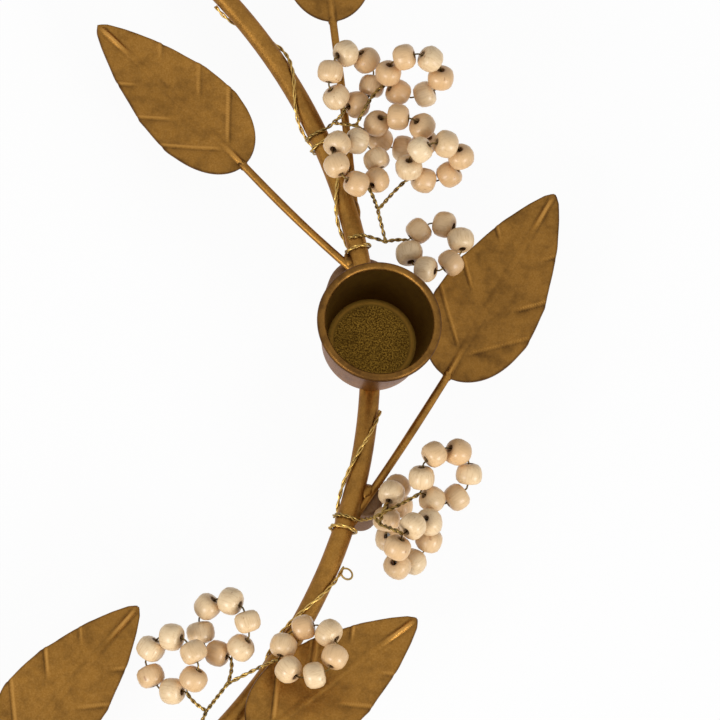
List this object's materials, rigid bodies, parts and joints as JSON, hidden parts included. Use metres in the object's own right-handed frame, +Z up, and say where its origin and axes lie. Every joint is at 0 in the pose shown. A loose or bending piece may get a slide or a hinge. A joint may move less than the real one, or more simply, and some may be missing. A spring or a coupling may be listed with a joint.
{
  "type": "candle ring",
  "caption": "Table candle ring: a round metal rod on low feet carries candle cups, pressed leaves on welded stems, and sprays of wooden beads on twisted wire.",
  "frame": {"origin": "on the table, at the middle of the ring", "axes": "+Z up; +X through the first candle cup, to within a few degrees; +Y in the ring's plane"},
  "size_m": [0.337, 0.337, 0.0331],
  "materials": {
    "antique_gold": "satin antique gold paint",
    "foot_metal": "satin brown paint",
    "twisted_wire": "satin",
    "bead_wood": "lightly waxed"
  },
  "bodies": {
    "ring": {"ring_rod": "antique_gold", "feet": "foot_metal", "inner_stems": "antique_gold", "outer_stems": "antique_gold", "candle_cup_1": "antique_gold", "candle_cup_2": "antique_gold", "candle_cup_3": "antique_gold", "candle_cup_4": "antique_gold", "inner_leaf_1": "antique_gold", "inner_leaf_2": "antique_gold", "inner_leaf_3": "antique_gold", "inner_leaf_4": "antique_gold", "outer_leaf_upper_1": "antique_gold", "outer_leaf_upper_2": "antique_gold", "outer_leaf_upper_3": "antique_gold", "outer_leaf_upper_4": "antique_gold", "outer_leaf_lower_1": "antique_gold", "outer_leaf_lower_2": "antique_gold", "outer_leaf_lower_3": "antique_gold", "outer_leaf_lower_4": "antique_gold", "crossing_leaf_1": "antique_gold", "crossing_leaf_2": "antique_gold", "upper_wire_1": "twisted_wire", "upper_wire_2": "twisted_wire", "upper_wire_3": "twisted_wire", "upper_wire_4": "twisted_wire", "cup_wire_1": "twisted_wire", "cup_wire_2": "twisted_wire", "cup_wire_3": "twisted_wire", "cup_wire_4": "twisted_wire", "lower_wire_1": "twisted_wire", "lower_wire_2": "twisted_wire", "lower_wire_3": "twisted_wire", "lower_wire_4": "twisted_wire", "far_wire_1": "twisted_wire", "far_wire_2": "twisted_wire", "far_wire_3": "twisted_wire", "far_wire_4": "twisted_wire", "upper_beads_1": "bead_wood", "upper_beads_2": "bead_wood", "upper_beads_3": "bead_wood", "upper_beads_4": "bead_wood", "cup_beads_1": "bead_wood", "cup_beads_2": "bead_wood", "cup_beads_3": "bead_wood", "cup_beads_4": "bead_wood", "lower_beads_1": "bead_wood", "lower_beads_2": "bead_wood", "lower_beads_3": "bead_wood", "lower_beads_4": "bead_wood", "far_beads_1": "bead_wood", "far_beads_2": "bead_wood", "far_beads_3": "bead_wood", "far_beads_4": "bead_wood"},
    "bead_1": {"turning_bead_1": "bead_wood"},
    "bead_2": {"turning_bead_2": "bead_wood"},
    "bead_3": {"turning_bead_3": "bead_wood"},
    "bead_4": {"turning_bead_4": "bead_wood"},
    "bead_5": {"turning_bead_5": "bead_wood"},
    "bead_6": {"turning_bead_6": "bead_wood"}
  },
  "joints": [
    {"name": "bead_1_spin", "type": "hinge", "parent": "ring", "child": "bead_1", "pos_m": [0.13403, 0.02553, 0.01861], "axis": [0.1265, -0.9555, 0.2665], "continuous": true},
    {"name": "bead_2_spin", "type": "hinge", "parent": "ring", "child": "bead_2", "pos_m": [0.13744, 0.02125, 0.02082], "axis": [0.8742, -0.3014, 0.3807], "continuous": true},
    {"name": "bead_3_spin", "type": "hinge", "parent": "ring", "child": "bead_3", "pos_m": [0.14296, 0.02245, 0.02251], "axis": [0.7477, 0.6541, 0.1142], "continuous": true},
    {"name": "bead_4_spin", "type": "hinge", "parent": "ring", "child": "bead_4", "pos_m": [0.14508, 0.02793, 0.02199], "axis": [-0.1265, 0.9555, -0.2665], "continuous": true},
    {"name": "bead_5_spin", "type": "hinge", "parent": "ring", "child": "bead_5", "pos_m": [0.14167, 0.03221, 0.01978], "axis": [-0.8742, 0.3014, -0.3807], "continuous": true},
    {"name": "bead_6_spin", "type": "hinge", "parent": "ring", "child": "bead_6", "pos_m": [0.13615, 0.03101, 0.01809], "axis": [-0.7477, -0.6541, -0.1142], "continuous": true}
  ]
}
